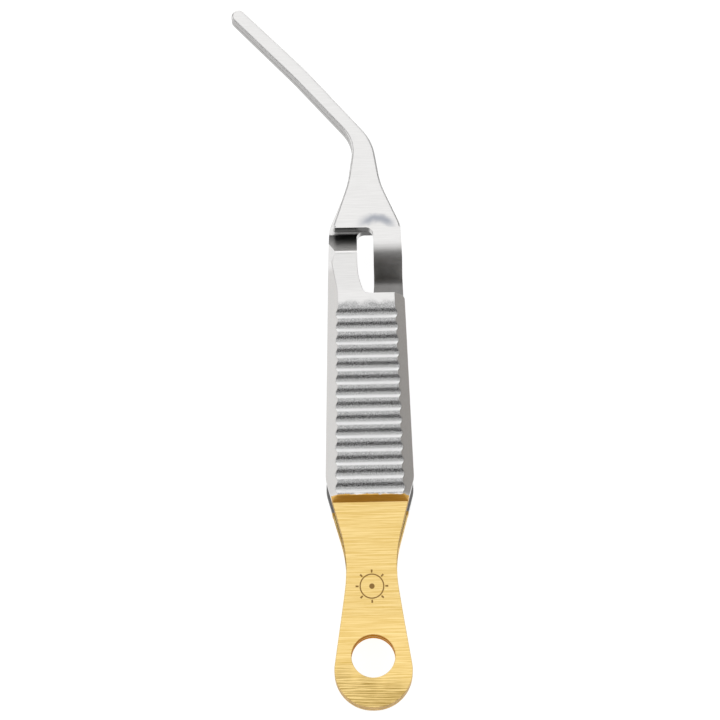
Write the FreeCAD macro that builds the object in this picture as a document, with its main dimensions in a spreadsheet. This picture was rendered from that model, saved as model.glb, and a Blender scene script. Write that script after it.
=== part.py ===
import FreeCAD, Part, Sketcher
import math
import os

# Cross-action spring clamp, lying on its rear grip, in millimetres.
#
# +Y runs from the tail to the jaws, +Z is up, out of the front grip, and the origin is the centre
# of the eyelet, on the plane where the two arms meet. Each arm is one steel strip: a tail with
# the eyelet, a spring leaf, a ridged grip, a leg half the clamp's width and a narrow bent jaw. The
# legs pass each other, so the front arm's jaw lies behind and the rear arm's jaw in front.
#
# Both arms are drawn the same way, as front arms with their leg on the -X side, and the rear arm
# is then turned half a turn about Y. Only the jaw's bend differs, so that both jaws bend to -X.
# Each arm is cut in two at its waist, where it flexes: the tail side ends in a round seat and the
# leaf side in a round nose that turns in it. The leaf is a node apart from the arm at the plating's
# edge, because the gold plating covers the tail and the leaf only. The plate and jaw are a node
# apart from the leg, which slopes up from the mating face just short of the plate.

SIZES = {
    # tail, eyelet and plan of the spring leaf
    "tail_end": 5.95,
    "tail_radius": 4.45,
    "tail_flat": 0.1,
    "eyelet_radius": 2.5,
    "waist_y": 10.9,
    "waist_half": 2.6,
    "waist_radius": 16,
    "grip_start": 17.5,
    # plan of the grip and the legs
    "grip_low_y": 20.3,
    "grip_low_half": 5.1,
    "grip_low_radius": 3,
    "shoulder_y": 42.45,
    "shoulder_radius": 0.45,
    "leg_inner": 0.98,
    "crotch_radius": 0.8,
    "leg_flare": 0.73,
    "leg_flare_y": 45,
    "leg_flare_radius": 10,
    # plan of the jaw plate and the neck
    "plate_low_y": 51.95,
    "plate_shoulder_y": 52.3,
    "plate_half": 4.25,
    "plate_far_half": 3.9,
    "plate_far_radius": 0.35,
    "plate_radius": 0.9,
    "plate_shoulder_radius": 3,
    "neck_low_y": 57.7,
    "neck_low_half": 1.95,
    "neck_radius": 10,
    "bend_y": 63.2,
    "neck_half": 1.1,
    "bend_outer_radius": 6.5,
    "bend_inner_radius": 4.5,
    # plan of the bent jaw: two straight runs with a slight hook between them
    "jaw_angle": 40.3,
    "jaw_hook": 3,
    "jaw_first_run": 11.7,
    "jaw_last_run": 11.45,
    "jaw_hook_radius": 60,
    "jaw_half": 0.9,
    "jaw_tip_half": 0.84,
    # side view
    "braze": 0.15,
    "strip": 0.9,
    "land_end": 4.5,
    "leaf_angle": 10.5,
    "leaf_bend_radius": 4,
    "nose_clearance": 0.03,
    "grip_span": 10,
    "grip_gap": 5.6,
    "grip_top": 17.9,
    "crest_end": 42.6,
    "crest_fall": 12.4,
    "crest_bend_radius": 6,
    "leg_end": 51.6,
    "leg_angle": 47.5,
    "leg_back": 5.15,
    "leg_back_angle": 64.7,
    "leg_bend_radius": 1.2,
    "leg_foot_radius": 2.5,
    "leg_toe_radius": 0.3,
    "plate_break": 0.1,
    "plate_thickness": 1.39,
    "jaw_tip_thickness": 0.95,
    "jaw_gap": 0.1,
    # grip ridges and side bevels
    "groove_first": 18.82,
    "groove_pitch": 1.623,
    "groove_count": 14,
    "groove_width": 1.15,
    "groove_floor": 0.35,
    "groove_depth": 0.29,
    "panel_half": 3.72,
    "panel_taper": 1.05,
    "bevel_angle": 50,
    "bevel_reach": 2.2,
    # small facet on the outer edge of the leg, where it turns down
    "facet_width": 0.8,
    "facet_angle": 50,
    "facet_fall": 28.7,
    "facet_height": 3,
    # fine teeth across the jaws' mating faces
    "tooth_pitch": 0.7,
    "tooth_width": 0.35,
    "tooth_depth": 0.12,
    "tooth_margin": 1.5,
    # spare stock around the arm, cut away by the plan outline
    "stock": 6,
}

# The jaw tip's corners are rounded by this share of its half width.
TIP_ROUNDING = 0.9

doc = FreeCAD.newDocument("SpringClamp")
sheet = doc.addObject("Spreadsheet::Sheet", "Dims")
for row, (alias, size) in enumerate(SIZES.items(), start=1):
    sheet.set(f"A{row}", alias)
    sheet.set(f"B{row}", str(size))
    sheet.setAlias(f"B{row}", alias)
doc.recompute()


def dim(text):
    """Turn a formula in the sheet's aliases into a FreeCAD expression."""
    for alias in sorted(SIZES, key=len, reverse=True):
        text = text.replace(f"<{alias}>", f"Dims.{alias}")
    return text


def value(expression):
    """The number that an expression gives now."""
    result = sheet.evalExpression(expression)
    return float(getattr(result, "Value", result))


# Side view, in Y and Z, of an arm drawn as a front arm.
LAND = dim("<braze> / 2")
CREST = dim("<grip_span> / 2")
GRIP_INNER = dim("<grip_gap> / 2")
MATING = dim("-<jaw_gap> / 2")
# The leg falls at its steep angle to the mating face at leg_end; the gentler fall of the crest
# meets that slope at this corner.
LEG_TOP_Y = dim(f"({MATING} + tan(<leg_angle>) * <leg_end> - {CREST} - tan(<crest_fall>) * <crest_end>)"
                " / (tan(<leg_angle>) - tan(<crest_fall>))")
LEG_TOP_Z = dim(f"{CREST} - tan(<crest_fall>) * ({LEG_TOP_Y} - <crest_end>)")
HINGE_Z = dim(f"{LAND} + (<waist_y> - <land_end>) * tan(<leaf_angle>) + <strip> / 2 / cos(<leaf_angle>)")


def leaf_inner(y):
    """Height of the leaf's inner face at y, past the land."""
    return dim(f"({LAND} + ({y} - <land_end>) * tan(<leaf_angle>))")


def leaf_outer(y):
    """Height of the leaf's outer face at y."""
    return dim(f"({leaf_inner(y)} + <strip> / cos(<leaf_angle>))")


def leg_inner_y(z):
    """Place along Y where the leg's inner face is at this height."""
    return dim(f"(<leg_end> - <leg_back> - ({z} - {GRIP_INNER}) / tan(<leg_back_angle>))")


PLATE_OUTER = dim(f"({MATING} - <plate_thickness>)")
FOOT_Y = leg_inner_y(PLATE_OUTER)


HINGE_INNER = (dim("<waist_y> + <strip> / 2 * sin(<leaf_angle>)"),
               dim(f"{HINGE_Z} - <strip> / 2 * cos(<leaf_angle>)"))
HINGE_OUTER = (dim("<waist_y> - <strip> / 2 * sin(<leaf_angle>)"),
               dim(f"{HINGE_Z} + <strip> / 2 * cos(<leaf_angle>)"))

# Plan view, in X and Y. The tail's sides are tangent to its round end and meet at the waist.
TAIL_RISE = dim("(<waist_y> + <tail_end> - <tail_radius>)")
TAIL_FLARE = dim(f"(asin(<tail_radius> / sqrt(<waist_half> ^ 2 + {TAIL_RISE} ^ 2))"
                 f" - atan(<waist_half> / {TAIL_RISE}))")
TAIL_CORNER = dim(f"<waist_half> + (<waist_y> + <tail_end>) * tan({TAIL_FLARE})")
SHOULDER_HALF = dim("<grip_low_half> + (<plate_half> - <grip_low_half>) * (<shoulder_y> - <grip_low_y>)"
                    " / (<plate_shoulder_y> - <grip_low_y>)")
JAW_REACH = dim("<jaw_first_run> * sin(<jaw_angle>) + <jaw_last_run> * sin(<jaw_angle> + <jaw_hook>)")
JAW_TOP = dim("<bend_y> + <jaw_first_run> * cos(<jaw_angle>)"
              " + <jaw_last_run> * cos(<jaw_angle> + <jaw_hook>)")
STOCK_END = dim(f"{JAW_TOP} + <stock> / 2")
# The leg's node ends and the jaw's begins at this Y, just short of the plate's edge.
BREAK_Y = dim("(<plate_low_y> - <plate_break>)")


def jaw_point(bend_side, runs, edge):
    """A corner of the jaw: runs is 1 at the hook and 2 at the tip, edge is +1 right or -1 left."""
    if runs == 1:
        along_x, along_y = "<jaw_first_run> * sin(<jaw_angle>)", "<jaw_first_run> * cos(<jaw_angle>)"
        half, heading = "<jaw_half>", "<jaw_angle> + <jaw_hook> / 2"
    else:
        along_x, along_y = JAW_REACH, f"{JAW_TOP} - <bend_y>"
        half, heading = "<jaw_tip_half>", "<jaw_angle> + <jaw_hook>"
    return (dim(f"{bend_side} * ({along_x}) + {edge} * {half} * cos({heading})"),
            dim(f"<bend_y> + {along_y} - {bend_side * edge} * {half} * sin({heading})"))


def arm_plan(bend_side):
    """Corners of one arm's outline, anticlockwise from the tail, with the leg on the -X side."""
    tail_round = dim("<tail_radius> - <tail_flat>")
    tip_round = dim(f"{TIP_ROUNDING} * <jaw_tip_half>")
    right_bend, left_bend = dim("<bend_outer_radius>"), dim("<bend_inner_radius>")
    if bend_side > 0:
        right_bend, left_bend = left_bend, right_bend
    return [
        (f"-({TAIL_CORNER})", dim("-<tail_end>"), tail_round),
        (TAIL_CORNER, dim("-<tail_end>"), tail_round),
        (dim("<waist_half>"), dim("<waist_y>"), dim("<waist_radius>")),
        (dim("<grip_low_half>"), dim("<grip_low_y>"), dim("<grip_low_radius>")),
        (SHOULDER_HALF, dim("<shoulder_y>"), dim("<shoulder_radius>")),
        (dim("<leg_flare> - <leg_inner>"), dim("<shoulder_y>"), dim("<crotch_radius>")),
        (dim("-<leg_inner>"), dim("<leg_flare_y>"), dim("<leg_flare_radius>")),
        (dim("-<leg_inner>"), dim("<plate_low_y>"), dim("<plate_radius>")),
        (dim("<plate_far_half>"), dim("<plate_low_y>"), dim("<plate_far_radius>")),
        (dim("<neck_low_half>"), dim("<neck_low_y>"), dim("<neck_radius>")),
        (dim("<neck_half>"), dim("<bend_y>"), right_bend),
        (*jaw_point(bend_side, 1, 1), dim("<jaw_hook_radius>")),
        (*jaw_point(bend_side, 2, 1), tip_round),
        (*jaw_point(bend_side, 2, -1), tip_round),
        (*jaw_point(bend_side, 1, -1), dim("<jaw_hook_radius>")),
        (dim("-<neck_half>"), dim("<bend_y>"), left_bend),
        (dim("-<neck_low_half>"), dim("<neck_low_y>"), dim("<neck_radius>")),
        (dim("-<plate_half>"), dim("<plate_shoulder_y>"), dim("<plate_shoulder_radius>")),
        (dim("-<grip_low_half>"), dim("<grip_low_y>"), dim("<grip_low_radius>")),
        (dim("-<waist_half>"), dim("<waist_y>"), dim("<waist_radius>")),
    ]


def add_sketch(body, name, plane):
    """A sketch on one of the body's own origin planes."""
    sketch = body.newObject("Sketcher::SketchObject", name)
    for feature in body.Origin.OriginFeatures:
        if feature.Role == plane:
            sketch.AttachmentSupport = [(feature, "")]
    sketch.MapMode = "FlatFace"
    return sketch


def bind(sketch, kind, where, expression):
    """Add one dimension to a sketch and tie it to the sheet."""
    index = sketch.addConstraint(Sketcher.Constraint(kind, *where, value(expression)))
    sketch.setExpression(f"Constraints[{index}]", expression)


def pin_point(sketch, geometry, position, corner):
    """Hold a point at the corner's two expressions, measured from the sketch's origin."""
    bind(sketch, "DistanceX", (-1, 1, geometry, position), corner[0])
    bind(sketch, "DistanceY", (-1, 1, geometry, position), corner[1])


def corner_arc(before, here, after, radius):
    """Tangent points, arc and turning side of a corner rounded with this radius."""
    into = (here - before).normalize()
    out = (after - here).normalize()
    side = 1 if into.cross(out).z > 0 else -1
    reach = radius * math.tan(into.getAngle(out) / 2)
    start = here - into * reach
    end = here + out * reach
    centre = start + FreeCAD.Vector(-into.y, into.x, 0) * side * radius
    angles = [math.atan2(point.y - centre.y, point.x - centre.x) for point in (start, end)]
    if side < 0:
        angles.reverse()
    circle = Part.Circle(centre, FreeCAD.Vector(0, 0, 1), radius)
    return start, end, Part.ArcOfCircle(circle, *angles), side


def add_outline(sketch, corners):
    """Draw a closed outline whose corners (u, v) or (u, v, radius) follow the sheet."""
    count = len(corners)
    points = [FreeCAD.Vector(value(corner[0]), value(corner[1]), 0) for corner in corners]
    arrive = list(points)
    leave = list(points)
    arcs = {}
    for i, corner in enumerate(corners):
        if len(corner) == 3:
            following = points[(i + 1) % count]
            radius = value(corner[2])
            arrive[i], leave[i], arc, side = corner_arc(points[i - 1], points[i], following, radius)
            arcs[i] = (arc, side)
    lines = [sketch.addGeometry(Part.LineSegment(leave[i], arrive[(i + 1) % count])) for i in range(count)]
    for i, corner in enumerate(corners):
        before, after = lines[i - 1], lines[i]
        if i not in arcs:
            sketch.addConstraint(Sketcher.Constraint("Coincident", before, 2, after, 1))
            pin_point(sketch, before, 2, corner)
            continue
        arc, side = arcs[i]
        arc_id = sketch.addGeometry(arc)
        first, last = (1, 2) if side > 0 else (2, 1)
        sketch.addConstraint(Sketcher.Constraint("Tangent", before, 2, arc_id, first))
        sketch.addConstraint(Sketcher.Constraint("Tangent", arc_id, last, after, 1))
        point_id = sketch.addGeometry(Part.Point(points[i]), True)
        sketch.addConstraint(Sketcher.Constraint("PointOnObject", point_id, 1, before))
        sketch.addConstraint(Sketcher.Constraint("PointOnObject", point_id, 1, after))
        pin_point(sketch, point_id, 1, corner)
        bind(sketch, "Radius", (arc_id,), corner[2])


def add_circle(sketch, centre, radius):
    """Draw a circle about a point given by two expressions."""
    point = FreeCAD.Vector(value(centre[0]), value(centre[1]), 0)
    circle = sketch.addGeometry(Part.Circle(point, FreeCAD.Vector(0, 0, 1), value(radius)))
    pin_point(sketch, circle, 3, centre)
    bind(sketch, "Radius", (circle,), radius)


def add_pad(body, name, sketch, length):
    """Pad a sketch by half this length to each side of its plane."""
    pad = body.newObject("PartDesign::Pad", name)
    pad.Profile = sketch
    pad.SideType = "Symmetric"
    pad.setExpression("Length", length)
    doc.recompute()
    return pad


def add_through_cut(body, name, sketch):
    """Cut a sketch through the body, both ways, and check that it takes something away."""
    before = body.Shape.Volume
    pocket = body.newObject("PartDesign::Pocket", name)
    pocket.Profile = sketch
    pocket.SideType = "Symmetric"
    pocket.Type = "ThroughAll"
    doc.recompute()
    if not body.Shape.Volume < before:
        raise RuntimeError(f"{body.Label}: {name} cut nothing")
    return pocket


def start_body(label, turned, side_corners):
    """A body padded from its side view, wide enough for the whole plan."""
    body = doc.addObject("PartDesign::Body", label)
    body.Label = label
    if turned:
        body.Placement = FreeCAD.Placement(FreeCAD.Vector(), FreeCAD.Rotation(FreeCAD.Vector(0, 1, 0), 180))
    side = add_sketch(body, "side_view", "YZ_Plane")
    add_outline(side, side_corners)
    add_pad(body, "side_stock", side, dim(f"2 * ({JAW_REACH} + <stock>)"))
    return body


def trim_to_plan(body, bend_side):
    """Cut away everything outside the arm's outline."""
    plan = add_sketch(body, "plan_view", "XY_Plane")
    edge_x = dim(f"{JAW_REACH} + 2 * <stock>")
    low, high = dim("-<tail_end> - <stock>"), dim(f"{STOCK_END} + <stock>")
    add_outline(plan, [(f"-({edge_x})", low), (edge_x, low), (edge_x, high), (f"-({edge_x})", high)])
    add_outline(plan, arm_plan(bend_side))
    add_through_cut(body, "plan_trim", plan)


def cut_eyelet(body):
    """Bore the eyelet through a tail piece."""
    sketch = add_sketch(body, "eyelet_circle", "XY_Plane")
    circle = sketch.addGeometry(Part.Circle(FreeCAD.Vector(), FreeCAD.Vector(0, 0, 1), 1))
    sketch.addConstraint(Sketcher.Constraint("Coincident", circle, 3, -1, 1))
    bind(sketch, "Radius", (circle,), dim("<eyelet_radius>"))
    add_through_cut(body, "eyelet", sketch)


def make_tail(label, turned, bend_side):
    """The tail of one arm, from its round end to the seat at the waist."""
    outer_bend = dim("<land_end> - <strip> * tan(<leaf_angle> / 2)")
    body = start_body(label, turned, [
        (dim("-<tail_end> - <stock>"), LAND),
        (dim("<land_end>"), LAND, dim("<leaf_bend_radius> + <strip>")),
        HINGE_INNER,
        HINGE_OUTER,
        (outer_bend, dim(f"{LAND} + <strip>"), dim("<leaf_bend_radius>")),
        (dim("-<tail_end> - <stock>"), dim(f"{LAND} + <strip>")),
    ])
    seat = add_sketch(body, "seat_circle", "YZ_Plane")
    add_circle(seat, (dim("<waist_y>"), HINGE_Z), dim("<strip> / 2 + <nose_clearance>"))
    add_through_cut(body, "seat", seat)
    trim_to_plan(body, bend_side)
    cut_eyelet(body)
    return body


def make_braze(label):
    """The film of braze between the two tails, as far as they lie together."""
    body = start_body(label, False, [
        (dim("-<tail_end> - <stock>"), dim("-<braze> / 2")),
        (dim("<land_end> - <leaf_bend_radius> * tan(<leaf_angle> / 2) - <strip>"), dim("-<braze> / 2")),
        (dim("<land_end> - <leaf_bend_radius> * tan(<leaf_angle> / 2) - <strip>"), dim("<braze> / 2")),
        (dim("-<tail_end> - <stock>"), dim("<braze> / 2")),
    ])
    trim_to_plan(body, -1)
    cut_eyelet(body)
    return body


def make_leaf(label, turned, bend_side):
    """The spring leaf of one arm, from the nose at the waist to the foot of the grip."""
    body = start_body(label, turned, [
        HINGE_INNER,
        (dim("<grip_start>"), leaf_inner("<grip_start>")),
        (dim("<grip_start>"), leaf_outer("<grip_start>")),
        HINGE_OUTER,
    ])
    nose = add_sketch(body, "nose_circle", "YZ_Plane")
    add_circle(nose, (dim("<waist_y>"), HINGE_Z), dim("<strip> / 2"))
    add_pad(body, "nose", nose, dim(f"2 * ({JAW_REACH} + <stock>)"))
    trim_to_plan(body, bend_side)
    return body


def cut_bevels(body):
    """Slope the grip's two long outer edges, along the taper of its ridged panel."""
    near = dim("(<panel_half> + <grip_low_y> * tan(<panel_taper>))")
    far = dim(f"({near} + <bevel_reach>)")
    drop = dim(f"{CREST} - <bevel_reach> * tan(<bevel_angle>)")
    above = dim(f"{CREST} + <stock>")
    for name, edge in (("right", 1), ("left", -1)):
        sketch = add_sketch(body, f"{name}_bevel_section", "XZ_Plane")
        wedge = [(f"{edge} * {near}", CREST), (f"{edge} * {far}", drop),
                 (f"{edge} * {far}", above), (f"{edge} * {near}", above)]
        add_outline(sketch, wedge)
        bevel = add_through_cut(body, f"{name}_bevel", sketch)
        bevel.UseCustomVector = True
        bevel.setExpression("Direction.x", dim(f"{-edge} * sin(<panel_taper>)"))
        bevel.setExpression("Direction.y", dim("cos(<panel_taper>)"))
        bevel.setExpression("Direction.z", "0")


def cut_leg_facet(body):
    """Take off the corner of the leg's outer edge where the leg turns down to the mating face."""
    half = dim(f"(<grip_low_half> + (<plate_half> - <grip_low_half>) * ({LEG_TOP_Y} - <grip_low_y>)"
               " / (<plate_shoulder_y> - <grip_low_y>))")
    near = dim(f"-({half} - <facet_width>)")
    far = dim(f"-({half} + <facet_width>)")
    level = dim(f"({LEG_TOP_Z} + {LEG_TOP_Y} * tan(<facet_fall>))")
    sketch = add_sketch(body, "leg_facet_section", "XZ_Plane")
    add_outline(sketch, [(near, level), (near, dim(f"{level} + <facet_height>")),
                         (far, dim(f"{level} + <facet_height>")),
                         (far, dim(f"{level} - 2 * <facet_width> * tan(<facet_angle>)"))])
    facet = add_through_cut(body, "leg_facet", sketch)
    facet.UseCustomVector = True
    facet.setExpression("Direction.x", "0")
    facet.setExpression("Direction.y", dim("cos(<facet_fall>)"))
    facet.setExpression("Direction.z", dim("-sin(<facet_fall>)"))


def cut_ridges(body):
    """Cut the row of grooves across the grip."""
    floor = dim(f"{CREST} - <groove_depth>")
    above = dim(f"{CREST} + <groove_depth>")
    sketch = add_sketch(body, "groove_section", "YZ_Plane")
    add_outline(sketch, [
        (dim("<groove_first> - <groove_width> / 2"), above),
        (dim("<groove_first> - <groove_width> / 2"), CREST),
        (dim("<groove_first> - <groove_floor> / 2"), floor),
        (dim("<groove_first> + <groove_floor> / 2"), floor),
        (dim("<groove_first> + <groove_width> / 2"), CREST),
        (dim("<groove_first> + <groove_width> / 2"), above),
    ])
    groove = add_through_cut(body, "groove", sketch)
    add_row(body, "ridges", groove, (sketch, ["H_Axis"]), dim("<groove_pitch>"), dim("<groove_count>"))


def add_row(body, name, feature, direction, pitch, count):
    """Repeat a cut in a straight row."""
    before = body.Shape.Volume
    row = body.newObject("PartDesign::LinearPattern", name)
    row.Originals = [feature]
    row.Direction = direction
    row.Mode = "Spacing"
    row.setExpression("Offset", pitch)
    row.setExpression("Occurrences", count)
    body.Tip = row
    doc.recompute()
    if not body.Shape.Volume < before:
        raise RuntimeError(f"{body.Label}: {name} repeated nothing")


def cut_teeth(body, bend_side):
    """Cut fine teeth across the mating face of the bent jaw."""
    sketch = add_sketch(body, "tooth_plan", "XY_Plane")
    heading = dim("(<jaw_angle> + <jaw_hook> / 2)")
    sketch.setExpression(".AttachmentOffset.Base.y", dim("<bend_y>"))
    sketch.setExpression(".AttachmentOffset.Rotation.Angle", f"{-bend_side} * {heading}")
    sketch.setExpression(".AttachmentOffset.Rotation.Axis.z", "1")
    sketch.setExpression(".AttachmentOffset.Base.z", dim(f"{MATING} - <tooth_depth> / 2"))
    half = dim("(<jaw_half> + <stock>)")
    add_outline(sketch, [
        (f"-({half})", dim("<tooth_margin>")),
        (half, dim("<tooth_margin>")),
        (half, dim("<tooth_margin> + <tooth_width>")),
        (f"-({half})", dim("<tooth_margin> + <tooth_width>")),
    ])
    before = body.Shape.Volume
    tooth = body.newObject("PartDesign::Pocket", "tooth")
    tooth.Profile = sketch
    tooth.SideType = "Symmetric"
    tooth.setExpression("Length", dim("<tooth_depth>"))
    doc.recompute()
    if not body.Shape.Volume < before:
        raise RuntimeError(f"{body.Label}: tooth cut nothing")
    toothed = "(<jaw_first_run> + <jaw_last_run> - 2 * <tooth_margin>)"
    add_row(body, "teeth", tooth, (sketch, ["V_Axis"]), dim("<tooth_pitch>"),
            dim(f"floor({toothed} / <tooth_pitch>)"))


def plate_outer(y):
    """Height of the plate's and the jaw's outer face at y; they thin evenly to the tip."""
    return dim(f"({PLATE_OUTER} + (<plate_thickness> - <jaw_tip_thickness>)"
               f" * ({y} - {FOOT_Y}) / ({STOCK_END} - {FOOT_Y}))")


def make_arm(label, turned, bend_side):
    """The steel of one arm: grip and leg."""
    grip_joins = dim(f"<land_end> + ({GRIP_INNER} - {LAND}) / tan(<leaf_angle>)")
    bend = dim("<leg_bend_radius>")
    body = start_body(label, turned, [
        (dim("<grip_start>"), leaf_inner("<grip_start>")),
        (grip_joins, GRIP_INNER),
        (leg_inner_y(GRIP_INNER), GRIP_INNER, bend),
        (FOOT_Y, PLATE_OUTER, dim("<leg_foot_radius>")),
        (BREAK_Y, plate_outer(BREAK_Y)),
        (BREAK_Y, MATING),
        (dim("<leg_end>"), MATING, dim("<leg_toe_radius>")),
        (LEG_TOP_Y, LEG_TOP_Z, bend),
        (dim("<crest_end>"), CREST, dim("<crest_bend_radius>")),
        (dim("<grip_top>"), CREST),
        (dim("<grip_start>"), leaf_outer("<grip_start>")),
    ])
    trim_to_plan(body, bend_side)
    cut_bevels(body)
    cut_leg_facet(body)
    cut_ridges(body)
    return body


def make_jaw(label, turned, bend_side):
    """The plate, neck and bent jaw at the end of one arm."""
    body = start_body(label, turned, [
        (BREAK_Y, plate_outer(BREAK_Y)),
        (STOCK_END, dim(f"{MATING} - <jaw_tip_thickness>")),
        (STOCK_END, MATING),
        (BREAK_Y, MATING),
    ])
    trim_to_plan(body, bend_side)
    cut_teeth(body, bend_side)
    return body


bodies = [make_braze("tail_braze")]
for side, turned, bend_side in (("front", False, -1), ("rear", True, 1)):
    bodies.append(make_tail(f"{side}_tail", turned, bend_side))
    bodies.append(make_leaf(f"{side}_leaf", turned, bend_side))
    bodies.append(make_arm(f"{side}_arm", turned, bend_side))
    bodies.append(make_jaw(f"{side}_jaw", turned, bend_side))
doc.recompute()

for item in doc.Objects:
    if {"Invalid", "Error"} & set(item.State):
        raise RuntimeError(f"{item.Label} failed: {item.State}")
for body in bodies:
    if body.Shape.isNull() or not body.Shape.isValid() or len(body.Shape.Solids) != 1:
        raise RuntimeError(f"{body.Label} is not one valid solid")

os.makedirs("parts", exist_ok=True)
for body in bodies:
    body.Shape.exportStep(f"parts/{body.Label}.step")
    box = body.Shape.BoundBox
    print(f"{body.Label}: {body.Shape.Volume:.1f} mm3,"
          f" X {box.XMin:.2f} to {box.XMax:.2f}, Y {box.YMin:.2f} to {box.YMax:.2f},"
          f" Z {box.ZMin:.2f} to {box.ZMax:.2f}")
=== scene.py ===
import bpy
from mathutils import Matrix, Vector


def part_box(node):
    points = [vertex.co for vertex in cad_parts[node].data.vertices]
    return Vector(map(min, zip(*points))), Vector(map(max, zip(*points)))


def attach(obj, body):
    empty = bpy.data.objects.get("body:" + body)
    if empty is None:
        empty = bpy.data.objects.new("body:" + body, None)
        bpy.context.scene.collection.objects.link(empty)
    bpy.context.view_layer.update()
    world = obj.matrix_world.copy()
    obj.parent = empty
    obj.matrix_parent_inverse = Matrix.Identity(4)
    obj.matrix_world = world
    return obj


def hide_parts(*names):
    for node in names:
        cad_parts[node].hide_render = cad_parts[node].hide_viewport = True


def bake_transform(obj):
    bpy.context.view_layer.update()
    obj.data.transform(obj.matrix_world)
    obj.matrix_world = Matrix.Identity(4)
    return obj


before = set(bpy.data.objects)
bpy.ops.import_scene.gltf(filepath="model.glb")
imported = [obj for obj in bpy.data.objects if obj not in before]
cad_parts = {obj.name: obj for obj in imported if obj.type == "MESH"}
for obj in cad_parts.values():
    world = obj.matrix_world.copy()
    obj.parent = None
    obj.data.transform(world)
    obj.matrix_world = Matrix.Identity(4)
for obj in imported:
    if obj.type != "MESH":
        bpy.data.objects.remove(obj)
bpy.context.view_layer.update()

import math

import bmesh
import bpy
from mathutils import Matrix, Vector

MM = 0.001

# Places along the clamp, in millimetres from the eyelet's centre.
CUT_Y = 10.25
WAIST_Y = 10.9
GRIP_START = 17.5
FOOT_END = 18.0
GRIP_LOW_Y = 20.3
RIDGES_END = 42.2
LEG_TURN_Y = 47.5
PLATE_LOW_Y = 51.95
TEETH_START = 62.0

# Other sizes, in millimetres. TAIL_REACH is how far the tail goes past the eyelet's centre.
TAIL_REACH = 5.95
TAIL_RADIUS = 4.45
WAIST_HALF = 2.6
WAIST_RADIUS = 16
GRIP_LOW_HALF = 5.1
RIDGE_ROOT_Z = 4.5
FLOOR_Z = -5.0
TOOTH_MARK = 0.07
TOOTH_ROOT = 0.2
HAIR = 0.01

# How far edges are rounded, in millimetres.
FOOT_ROUND = 0.02
BODY_ROUND = 0.05
SPRING_ROUND = 0.1
RIDGE_ROUND = 0.16
JAW_ROUND = 0.25

# How the strip is cut across and grown in steps.
TAIL_CUTS = 7
FIRST_TAIL_CUT = 5.3
TAIL_CUT_STEP = 0.7
LEAF_STEPS = 16

LEAF_ANGLE = math.radians(10.5)
FLAT_ANGLE = math.radians(0.4)
CORNER_ANGLE = math.radians(22)
CREASE_ANGLE = math.radians(32)
RIM_ANGLE = math.radians(55)
SAME_POINT = 0.001 * MM


def grey(level, warmth=0.0):
    """A near-neutral colour, warmer above zero."""
    return (level * (1 + warmth), level, level * (1 - warmth), 1)


# Tones that vary from the first colour to the second.
BRUSHED = grey(0.60, 0.012), grey(0.82, 0.008)
PITTED = grey(0.28), grey(0.66)
# Painted shade, grainy, on the ridges' walls that face the tail.
PAINTED_RIDGE_SHADE = grey(0.05), grey(0.42)
GROUND = grey(0.50, 0.02), grey(0.62, 0.02)
# Painted shade: the ground facets that face right are darker than the left ones.
GROUND_PAINTED_SHADE_RIGHT = grey(0.24, 0.05), grey(0.36, 0.05)
# Painted shade on faces that look towards the other arm, which are also rougher.
DULL_AND_PAINTED_SHADE = grey(0.20, 0.02), grey(0.32, 0.02)
# Painted shade on the leg's slope, darker towards the jaw's plate.
PAINTED_SHADE_UNDER_PLATE = grey(0.34, 0.02), grey(0.06, 0.02)
JAW_WALL = grey(0.30, 0.02), grey(0.44, 0.02)
FOOT_GOLD = (0.50, 0.26, 0.04, 1), (0.80, 0.50, 0.13, 1)
LEAF_GOLD = (0.64, 0.42, 0.10, 1), (0.93, 0.71, 0.32, 1)
BRAZE = (0.42, 0.26, 0.08, 1), (0.65, 0.45, 0.17, 1)
PAPER = (0.30, 0.30, 0.30, 1), (0.32, 0.32, 0.32, 1)

# Even tones.
CLOUDED = grey(0.70, 0.01)
# Painted highlight: white on the ridges' walls that face the jaws.
PAINTED_RIDGE_HIGHLIGHT = grey(0.96)
# Painted shade: near black on the plate's lower end, on faces that look towards the tail.
PAINTED_UNDERSIDE_SHADE = grey(0.07, 0.02)
# Painted shade, bluish grey, in an arch on the jaw's plate.
PAINTED_PLATE_SHADE = (0.27, 0.29, 0.34, 1)
SIDE_GOLD = (0.76, 0.46, 0.12, 1)
BORE_GOLD = (0.62, 0.26, 0.03, 1)
# Darker, patchy gold towards the tail's end.
DARKER_TAIL_END_GOLD = (0.26, 0.16, 0.03, 1)
ETCHED_GOLD = (0.20, 0.09, 0.02, 1)

# Where finishes and painted shade come in or go out along the clamp, each from a start to an
# end, in millimetres.
RIDGED_IN, RIDGED_OUT = (17.9, 18.1), (40.9, 41.8)
GROUND_IN, GROUND_OUT = (17.5, 18.5), (45.2, 46.4)
DULL_AND_PAINTED_SHADE_OUT = (48.2, 50.4)
SLOPE_IN, SLOPE_OUT = (46.5, 47.5), (52.4, 52.6)
# Where the painted shade on the slope deepens.
PAINTED_SHADE_UNDER_PLATE_IN = (48.0, 51.8)
PAINTED_UNDERSIDE_SHADE_IN, PAINTED_UNDERSIDE_SHADE_OUT = (51.0, 51.4), (52.6, 52.8)
PLATE_IN = (51.9, 52.0)
JAW_IN = (57.0, 60.0)
GOLD_OUT = (17.95, 18.05)
DARKER_END_OUT = (-4.2, -1.0)


class Signal:
    """A shader socket whose arithmetic adds Math nodes."""

    def __init__(self, finish, socket):
        self.finish = finish
        self.socket = socket

    def __add__(self, other):
        return self.finish.maths("ADD", self, other)

    __radd__ = __add__

    def __sub__(self, other):
        return self.finish.maths("SUBTRACT", self, other)

    def __rsub__(self, other):
        return self.finish.maths("SUBTRACT", other, self)

    def __mul__(self, other):
        return self.finish.maths("MULTIPLY", self, other)

    __rmul__ = __mul__


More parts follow.
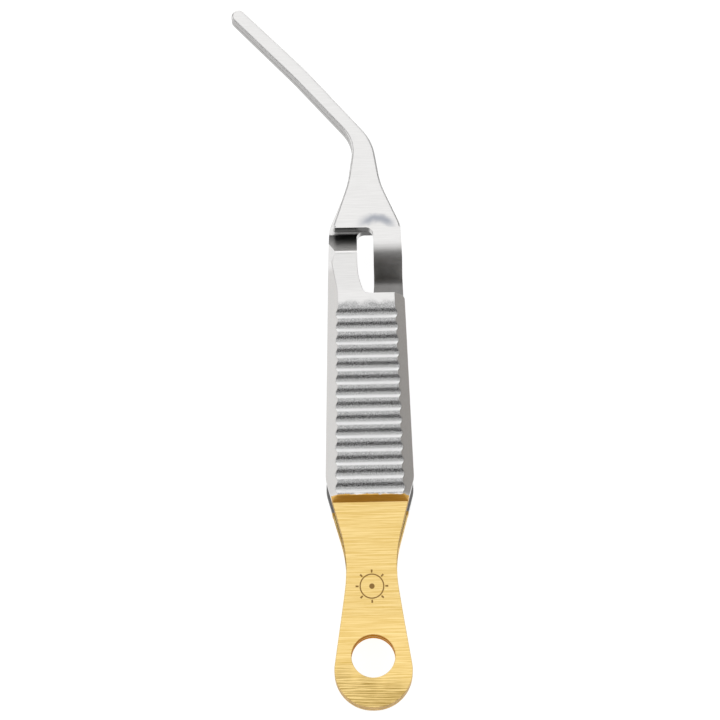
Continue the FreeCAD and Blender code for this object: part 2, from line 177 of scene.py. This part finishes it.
class Finish:
    """A material and the nodes that make it."""

    def __init__(self, name):
        self.material = bpy.data.materials.new(name)
        self.material.use_nodes = True
        self.tree = self.material.node_tree
        self.tree.nodes.clear()

    def add(self, kind, settings=None, inputs=None, output=0):
        """Add a node of this kind, set it up, fill its sockets and give back one output."""
        node = self.tree.nodes.new("ShaderNode" + kind)
        for name, setting in (settings or {}).items():
            setattr(node, name, setting)
        for name, given in (inputs or {}).items():
            if isinstance(given, Signal):
                self.tree.links.new(given.socket, node.inputs[name])
            else:
                node.inputs[name].default_value = given
        return Signal(self, node.outputs[output]) if node.outputs else None

    def maths(self, operation, *values):
        """One Math node."""
        return self.add("Math", {"operation": operation}, dict(enumerate(values)))

    def size(self, signal):
        """The signal without its sign."""
        return self.maths("ABSOLUTE", signal)

    def reach(self, across, away):
        """The distance from a centre."""
        return self.maths("SQRT", across * across + away * away)

    def place(self):
        """The point on the piece, in the clamp's own frame."""
        return self.add("TexCoord", output="Object")

    def axis(self, name):
        """The point's X, Y or Z, in millimetres."""
        return self.add("SeparateXYZ", inputs={0: self.place()}, output=name) * 1000

    def facing(self, name):
        """How far the surface faces along X, Y or Z."""
        normal = self.add("NewGeometry", output="True Normal")
        return self.add("SeparateXYZ", inputs={0: normal}, output=name)

    def noise(self, scale, detail=2.0, roughness=0.5, stretch=(1, 1, 1), shift=(0, 0, 0)):
        """Even noise between 0 and 1; stretch multiplies its frequency along X, Y and Z."""
        spread = self.add("Mapping", {}, {"Vector": self.place(), "Scale": stretch,
                                          "Location": shift})
        return self.add("TexNoise", {}, {"Vector": spread, "Scale": scale, "Detail": detail,
                                         "Roughness": roughness})

    def step(self, signal, start, end):
        """0 up to start, 1 from end on, smooth between them."""
        return self.add("MapRange", {"interpolation_type": "SMOOTHSTEP"},
                        {0: signal, 1: start, 2: end, 3: 0.0, 4: 1.0})

    def band(self, signal, comes_in, goes_out):
        """1 between two steps, each a start and an end, and 0 outside them."""
        return self.step(signal, *comes_in) * (1 - self.step(signal, *goes_out))

    def colours(self, factor, first, second):
        """One colour going into another."""
        return self.add("Mix", {"data_type": "RGBA", "blend_type": "MIX", "clamp_factor": True},
                        {0: factor, 6: first, 7: second}, output=2)

    def coats(self, tone, layers):
        """Lay colours over a tone in turn, each where its mask is 1."""
        for mask, colour in layers:
            tone = self.colours(mask, tone, colour)
        return tone

    def bump(self, height, distance, strength):
        """Raise the surface by this height, times the distance in metres."""
        return self.add("Bump", {}, {"Height": height, "Distance": distance,
                                     "Strength": strength})

    def surface(self, inputs):
        """End the material with its shader."""
        shader = self.add("BsdfPrincipled", {}, inputs)
        self.add("OutputMaterial", {}, {"Surface": shader})
        return self.material


def plate_shade_arch(finish, along, cloud, side):
    """An arch-shaped band of painted shade, bluish grey, on the inner face of the jaw's plate.
    """
    peak_x, peak_y, curve, half_width = 1.3, 53.1, 0.17, 0.95
    off_peak = finish.axis("X") * -side - peak_x
    arch = peak_y - off_peak * off_peak * curve
    band = 1 - finish.step(finish.size(along - arch + (cloud - 0.5) * 0.8), 0.0, half_width)
    return band * finish.band(off_peak, (-2.6, -0.6), (1.3, 2.7))


def brushed_steel(name, side):
    """Satin steel brushed across the clamp: blasted ridges, ground facets, a plated foot, with
    painted highlights and painted shade.
    """
    finish = Finish(name)
    along = finish.axis("Y")
    streaks = finish.noise(1, 3, 0.6, (350, 9000, 9000))
    cloud = finish.noise(900, 2, 0.5)
    grit = finish.noise(8500, 2, 0.7)
    ragged = finish.noise(1500, 3, 0.7)
    brown = finish.noise(1, 3, 0.6, (500, 9000, 5000), (3, 0, 0))
    face_x = finish.facing("X")
    face_y = finish.facing("Y")
    face_z = finish.facing("Z") * side
    lean_x = finish.size(face_x)

    ridged = finish.band(along + (cloud - 0.5) * 1.2, RIDGED_IN, RIDGED_OUT)
    blasted = ridged * finish.step(face_z, 0.55, 0.7) * (1 - finish.step(lean_x, 0.3, 0.45))
    ground = finish.step(lean_x, 0.45, 0.6) * finish.step(face_z, 0.3, 0.4)
    ground = ground * finish.band(along, GROUND_IN, GROUND_OUT)
    # Faces that look towards the other arm: painted shade, and rougher.
    inside = finish.step(0 - face_z, 0.25, 0.4) * (1 - finish.step(along, *DULL_AND_PAINTED_SHADE_OUT))
    slope = finish.step(face_y, 0.55, 0.65) * finish.step(face_z, 0.3, 0.5)
    slope = slope * finish.band(along, SLOPE_IN, SLOPE_OUT)
    walls = (1 - finish.step(finish.size(face_z), 0.25, 0.5)) * finish.step(along, *JAW_IN)
    # Painted shade in an arch on the jaw's plate.
    plate_shade = plate_shade_arch(finish, along, cloud, side)
    plate_shade = plate_shade * finish.step(0 - face_z, 0.8, 0.9) * finish.step(along, *PLATE_IN)
    # Painted shade on the plate's lower end.
    under_shade = finish.step(0 - face_y, 0.7, 0.97)
    under_shade = under_shade * finish.band(along, PAINTED_UNDERSIDE_SHADE_IN, PAINTED_UNDERSIDE_SHADE_OUT)
    plated = 1 - finish.step(along + (ragged - 0.5) * 0.5, *GOLD_OUT)

    tone = finish.coats(finish.colours(streaks, *BRUSHED), (
        (cloud * 0.35, CLOUDED),
        (blasted, finish.colours(finish.step(grit, 0.25, 0.75), *PITTED)),
        # Painted highlight: the ridges' walls that face the jaws are white.
        (ridged * finish.step(face_y, 0.2, 0.4), PAINTED_RIDGE_HIGHLIGHT),
        # Painted shade: the ridges' walls that face the tail are dark and grainy.
        (ridged * finish.step(0 - face_y, 0.2, 0.45),
         finish.colours(finish.step(grit, 0.3, 0.7), *PAINTED_RIDGE_SHADE)),
        (ground, finish.colours(streaks, *GROUND)),
        # Painted shade on the ground facets that face right.
        (ground * finish.step(face_x, 0.3, 0.5), finish.colours(streaks, *GROUND_PAINTED_SHADE_RIGHT)),
        # Painted shade where the faces look towards the other arm.
        (inside, finish.colours(cloud, *DULL_AND_PAINTED_SHADE)),
        # Painted shade on the slope, darker towards the jaw's plate.
        (slope, finish.colours(finish.step(along, *PAINTED_SHADE_UNDER_PLATE_IN), *PAINTED_SHADE_UNDER_PLATE)),
        (walls, finish.colours(streaks, *JAW_WALL)),
        # Painted shade, bluish grey, on the jaw's plate.
        (plate_shade * 0.8, PAINTED_PLATE_SHADE),
        # Painted shade under the jaw's plate.
        (under_shade, PAINTED_UNDERSIDE_SHADE),
        (plated, finish.colours(brown, *FOOT_GOLD)),
    ))
    return finish.surface({
        "Base Color": tone,
        "Metallic": 1.0,
        "Roughness": 0.30 + streaks * 0.08 + blasted * 0.16 + inside * 0.14,
        "Normal": finish.bump(streaks * (1 - blasted) * 0.12 + grit * blasted, 0.04 * MM, 0.7),
    })


def etched_emblem(finish, across, along):
    """A mask for a ring with a dot in it and ticks round it, on the front of the leaf."""
    centre_y, ring_radius, ticks = 8.0, 1.35, 8.0
    away = along - centre_y
    radius = finish.reach(across, away)
    ring = 1 - finish.step(finish.size(radius - ring_radius), 0.045, 0.10)
    dot = 1 - finish.step(radius, 0.28, 0.34)
    turn = finish.maths("ARCTAN2", away, across)
    rays = finish.step(finish.maths("COSINE", turn * ticks), 0.86, 0.93)
    rays = rays * finish.band(radius, (1.5, 1.55), (1.85, 1.9))
    lines = finish.maths("MAXIMUM", finish.maths("MAXIMUM", ring, dot), rays)
    return lines * finish.step(finish.facing("Z"), 0.5, 0.7)


def gold_plate(name, marked):
    """Brushed gold plating, streaked across the clamp; the marked one carries the emblem."""
    finish = Finish(name)
    across, along = finish.axis("X"), finish.axis("Y")
    streaks = finish.noise(1, 3, 0.65, (200, 9000, 9000), (7, 2, 1))
    patches = finish.noise(350, 2, 0.5)
    upright = 1 - finish.step(finish.size(finish.facing("Z")), 0.2, 0.5)
    bore = upright * (1 - finish.step(finish.reach(across, along), 2.6, 2.8))
    # Darker and patchy towards the tail's end.
    darker_end = 1 - finish.step(along + (patches - 0.5) * 6, *DARKER_END_OUT)
    tone = finish.coats(finish.colours(finish.step(streaks, 0.2, 0.75), *LEAF_GOLD), (
        (upright, SIDE_GOLD),
        (bore, BORE_GOLD),
        (darker_end * (1 - finish.step(streaks, 0.35, 0.65)) * 0.8, DARKER_TAIL_END_GOLD),
    ))
    roughness = 0.28 + streaks * 0.12
    if marked:
        etched = etched_emblem(finish, across, along)
        tone = finish.colours(etched * 0.8, tone, ETCHED_GOLD)
        roughness = roughness + etched * 0.2
    return finish.surface({
        "Base Color": tone,
        "Metallic": 1 - upright * 0.35 - bore * 0.65,
        "Specular IOR Level": 0.0,
        "Roughness": roughness,
        "Normal": finish.bump(streaks, 0.02 * MM, 0.35),
    })


def brass_film():
    """The braze that shows as a thin line round the tail."""
    finish = Finish("brass_film")
    mottle = finish.noise(2500, 2, 0.5)
    return finish.surface({
        "Base Color": finish.colours(mottle, *BRAZE),
        "Metallic": 1.0,
        "Roughness": 0.45 + mottle * 0.1,
    })


def floor_paper():
    """Plain pale paper."""
    finish = Finish("floor_paper")
    fibre = finish.noise(120, 3, 0.6)
    return finish.surface({
        "Base Color": finish.colours(fibre, *PAPER),
        "Roughness": 0.9,
        "Emission Color": (1.0, 1.0, 1.0, 1.0),
        "Emission Strength": 0.86,
    })


def join_flat_faces(mesh):
    """Make each flat stretch of the mesh one face."""
    bmesh.ops.dissolve_limit(mesh, angle_limit=FLAT_ANGLE, verts=mesh.verts, edges=mesh.edges,
                             delimit=set())


def welded_arm(nodes, break_y):
    """An arm's grip and jaw as one mesh, with shallow teeth and no faces between the two."""
    mesh = bmesh.new()
    for node in nodes:
        mesh.from_mesh(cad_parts[node].data)
    bmesh.ops.remove_doubles(mesh, verts=mesh.verts, dist=SAME_POINT)
    hidden = [face for face in mesh.faces
              if all(abs(vert.co.y - break_y) < 2 * SAME_POINT for vert in face.verts)]
    bmesh.ops.delete(mesh, geom=hidden, context="FACES")
    for vert in mesh.verts:
        if vert.co.y > TEETH_START * MM and TOOTH_MARK * MM < abs(vert.co.z) < TOOTH_ROOT * MM:
            vert.co.z = math.copysign(TOOTH_MARK * MM, vert.co.z)
    join_flat_faces(mesh)
    return mesh


def cut_across(mesh, y, keep_beyond=True):
    """Cut the mesh at y, in millimetres, and drop what lies beyond if asked."""
    bmesh.ops.bisect_plane(mesh, geom=mesh.verts[:] + mesh.edges[:] + mesh.faces[:], dist=1e-7,
                           plane_co=(0, y * MM, 0), plane_no=(0, 1, 0),
                           clear_outer=not keep_beyond)


def finish_piece(mesh, name, body, nodes, material):
    """Make the object, shade it and hang it on its body, if it has only one."""
    bmesh.ops.dissolve_degenerate(mesh, dist=SAME_POINT, edges=mesh.edges)
    bmesh.ops.recalc_face_normals(mesh, faces=mesh.faces)
    # A strip can come out of that with every face turned inwards.
    if mesh.calc_volume(signed=True) < 0:
        bmesh.ops.reverse_faces(mesh, faces=mesh.faces)
    for face in mesh.faces:
        face.smooth = True
    for edge in mesh.edges:
        edge.smooth = len(edge.link_faces) == 2 and edge.calc_face_angle(0) < CREASE_ANGLE
    data = bpy.data.meshes.new(name)
    mesh.to_mesh(data)
    mesh.free()
    data.materials.append(material)
    piece = bpy.data.objects.new(name, data)
    bpy.context.scene.collection.objects.link(piece)
    weighted = piece.modifiers.new("even_shading", "WEIGHTED_NORMAL")
    weighted.keep_sharp = True
    weighted.weight = 100
    if body:
        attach(piece, body)
    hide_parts(*nodes)
    return piece


def outer_face(edge, side):
    """True where one face of the edge looks out of the clamp and the other to its side."""
    first, second = (face.normal for face in edge.link_faces)
    flat = max(first.z * side, second.z * side)
    steep = min(abs(first.z), abs(second.z))
    return flat > 0.4 and steep < 0.25


def steel_edge(edge, side):
    """How far this edge of an arm is rounded, in millimetres."""
    if len(edge.link_faces) != 2 or edge.calc_face_angle(0) < CORNER_ANGLE:
        return 0
    first, second = (vert.co for vert in edge.verts)
    middle = (first + second) / 2 / MM
    across_clamp = abs(first.x - second.x) > 0.9 * edge.calc_length()
    if middle.y < FOOT_END:
        return FOOT_ROUND if middle.y > GRIP_START + HAIR else 0
    if middle.y > PLATE_LOW_Y + HAIR:
        return JAW_ROUND if outer_face(edge, -side) else 0
    if middle.y > LEG_TURN_Y:
        return 0
    if middle.y < RIDGES_END and middle.z * side > RIDGE_ROOT_Z and across_clamp:
        return RIDGE_ROUND
    return BODY_ROUND


def steel_arm(side, name, nodes, body, material):
    """One arm's steel, with its edges rounded as a maker would stone them."""
    mesh = welded_arm(nodes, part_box(nodes[1])[0].y)
    layer = mesh.edges.layers.float.new("bevel_weight_edge")
    for edge in mesh.edges:
        edge[layer] = steel_edge(edge, side) / JAW_ROUND
    piece = finish_piece(mesh, name, body, nodes, material)
    rounding = piece.modifiers.new("stoned_edges", "BEVEL")
    rounding.limit_method = "WEIGHT"
    rounding.width = JAW_ROUND * MM
    rounding.segments = 3
    rounding.use_clamp_overlap = False
    rounding.material = -1
    piece.modifiers.move(1, 0)
    slivers = piece.modifiers.new("merged_slivers", "WELD")
    slivers.merge_threshold = 2 * SAME_POINT
    piece.modifiers.move(2, 1)


def waist_half(y):
    """Half the leaf's width at y: the tail's side, the waist's arc and the line to the grip."""
    rise = WAIST_Y + TAIL_REACH - TAIL_RADIUS
    flare = math.asin(TAIL_RADIUS / math.hypot(WAIST_HALF, rise)) - math.atan(WAIST_HALF / rise)
    spread = math.atan((GRIP_LOW_HALF - WAIST_HALF) / (GRIP_LOW_Y - WAIST_Y))
    reach = WAIST_RADIUS * math.tan((flare + spread) / 2)
    lower = WAIST_Y - reach * math.cos(flare)
    upper = WAIST_Y + reach * math.cos(spread)
    if y <= lower:
        return WAIST_HALF + (WAIST_Y - y) * math.tan(flare)
    if y >= upper:
        return WAIST_HALF + (y - WAIST_Y) * math.tan(spread)
    centre_x = WAIST_HALF + reach * math.sin(spread) + WAIST_RADIUS * math.cos(spread)
    centre_y = upper - WAIST_RADIUS * math.sin(spread)
    return centre_x - math.sqrt(WAIST_RADIUS ** 2 - (y - centre_y) ** 2)


def grow_leaf(mesh, side):
    """Draw the strip on from its cut end to the grip, and close it there."""
    rim = [edge for edge in mesh.edges if edge.is_boundary]
    y = CUT_Y
    for step in range(1, LEAF_STEPS + 1):
        following = CUT_Y + (GRIP_START - CUT_Y) * step / LEAF_STEPS
        grown = bmesh.ops.extrude_edge_only(mesh, edges=rim)["geom"]
        rim = [item for item in grown if isinstance(item, bmesh.types.BMEdge)]
        moved = [item for item in grown if isinstance(item, bmesh.types.BMVert)]
        ahead = (following - y) * MM
        bmesh.ops.translate(mesh, verts=moved,
                            vec=(0, ahead, side * ahead * math.tan(LEAF_ANGLE)))
        bmesh.ops.scale(mesh, verts=moved, vec=(waist_half(following) / waist_half(y), 1, 1))
        y = following
    bmesh.ops.edgeloop_fill(mesh, edges=rim)


def rim_edge(edge):
    """True for an edge along the strip's side, short of the grip."""
    return (len(edge.link_faces) == 2 and edge.calc_face_angle(0) > RIM_ANGLE
            and min(vert.co.y for vert in edge.verts) < (GRIP_START - HAIR) * MM)


def gold_spring(side, name, nodes, material):
    """One arm's tail and leaf as a single strip that bends at the waist."""
    mesh = bmesh.new()
    mesh.from_mesh(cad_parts[nodes[0]].data)
    bmesh.ops.remove_doubles(mesh, verts=mesh.verts, dist=SAME_POINT)
    join_flat_faces(mesh)
    cut_across(mesh, CUT_Y, keep_beyond=False)
    grow_leaf(mesh, side)
    for number in range(TAIL_CUTS):
        cut_across(mesh, FIRST_TAIL_CUT + TAIL_CUT_STEP * number)
    bmesh.ops.recalc_face_normals(mesh, faces=mesh.faces)
    bmesh.ops.bevel(mesh, geom=[edge for edge in mesh.edges if rim_edge(edge)],
                    offset=SPRING_ROUND * MM, offset_type="OFFSET", segments=2, profile=0.5,
                    affect="EDGES", clamp_overlap=False, material=-1, loop_slide=True)
    piece = finish_piece(mesh, name, None, nodes, material)
    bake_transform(piece)


def soft_light(name, direction, distance, size, radiance):
    """A rectangular softbox that looks at the clamp's middle."""
    aim = Vector((-0.002, 0.036, 0))
    data = bpy.data.lights.new(name, "AREA")
    data.shape = "RECTANGLE"
    data.size, data.size_y = size
    data.energy = radiance * math.pi * size[0] * size[1]
    light = bpy.data.objects.new(name, data)
    heading = Vector(direction).normalized()
    light.location = aim + heading * distance
    light.rotation_euler = heading.to_track_quat("Z", "Y").to_euler()
    bpy.context.scene.collection.objects.link(light)


def camera():
    """The camera: a long lens above the tail's side of the clamp, rolled a little."""
    tilt, roll, distance = 0.32, math.radians(1.1), 0.3764
    target = Vector((-0.00087, 0.03582, 0))
    back = Vector((0, -math.sin(tilt), math.cos(tilt)))
    lift = Vector((0, math.cos(tilt), math.sin(tilt)))
    right = Vector((1, 0, 0))
    turned_right = right * math.cos(roll) - lift * math.sin(roll)
    turned_up = right * math.sin(roll) + lift * math.cos(roll)
    data = bpy.data.cameras.new("camera")
    data.lens = 160
    data.sensor_width = 36
    data.clip_start = 0.01
    holder = bpy.data.objects.new("camera", data)
    holder.matrix_world = (Matrix.Translation(target + back * distance)
                           @ Matrix((turned_right, turned_up, back)).transposed().to_4x4())
    bpy.context.scene.collection.objects.link(holder)
    bpy.context.scene.camera = holder


def floor():
    """The sheet that the clamp lies on."""
    half_size, middle_y = 1.5, 0.036
    sheet = bmesh.new()
    bmesh.ops.create_grid(sheet, x_segments=1, y_segments=1, size=half_size)
    bmesh.ops.translate(sheet, verts=sheet.verts, vec=(0, middle_y, FLOOR_Z * MM))
    data = bpy.data.meshes.new("floor")
    sheet.to_mesh(data)
    sheet.free()
    data.materials.append(floor_paper())
    laid = bpy.data.objects.new("floor", data)
    bpy.context.scene.collection.objects.link(laid)


def studio():
    """The pale surroundings and the lights; sizes and distances in metres."""
    world = bpy.data.worlds.new("surroundings")
    world.use_nodes = True
    background = world.node_tree.nodes["Background"]
    background.inputs["Color"].default_value = (1, 1, 1, 1)
    background.inputs["Strength"].default_value = 0.16
    bpy.context.scene.world = world
    bpy.context.scene.view_settings.view_transform = "Standard"
    soft_light("overhead", direction=(0, 0.22, 0.975), distance=0.6, size=(1.0, 1.1),
               radiance=1.06)
    soft_light("near", direction=(0, -0.85, 0.52), distance=0.7, size=(0.8, 0.3), radiance=0.6)
    soft_light("far", direction=(0, 1, 0.2), distance=0.7, size=(0.9, 0.35), radiance=1.5)
    soft_light("left", direction=(-1, 0.15, 0.25), distance=0.6, size=(0.5, 0.35), radiance=1.3)
    soft_light("right", direction=(1, 0.2, 0.25), distance=0.6, size=(0.4, 0.25), radiance=0.15)


steel_arm(1, "front_steel", ["front_arm", "front_jaw"], "front_half",
          brushed_steel("front_finish", 1))
steel_arm(-1, "rear_steel", ["rear_arm", "rear_jaw"], "rear_half",
          brushed_steel("rear_finish", -1))
gold_spring(1, "front_spring", ["front_tail", "front_leaf"],
            gold_plate("gold_plate_marked", True))
gold_spring(-1, "rear_spring", ["rear_tail", "rear_leaf"],
            gold_plate("gold_plate", False))
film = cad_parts["tail_braze"]
film.data.materials.clear()
film.data.materials.append(brass_film())
camera()
floor()
studio()
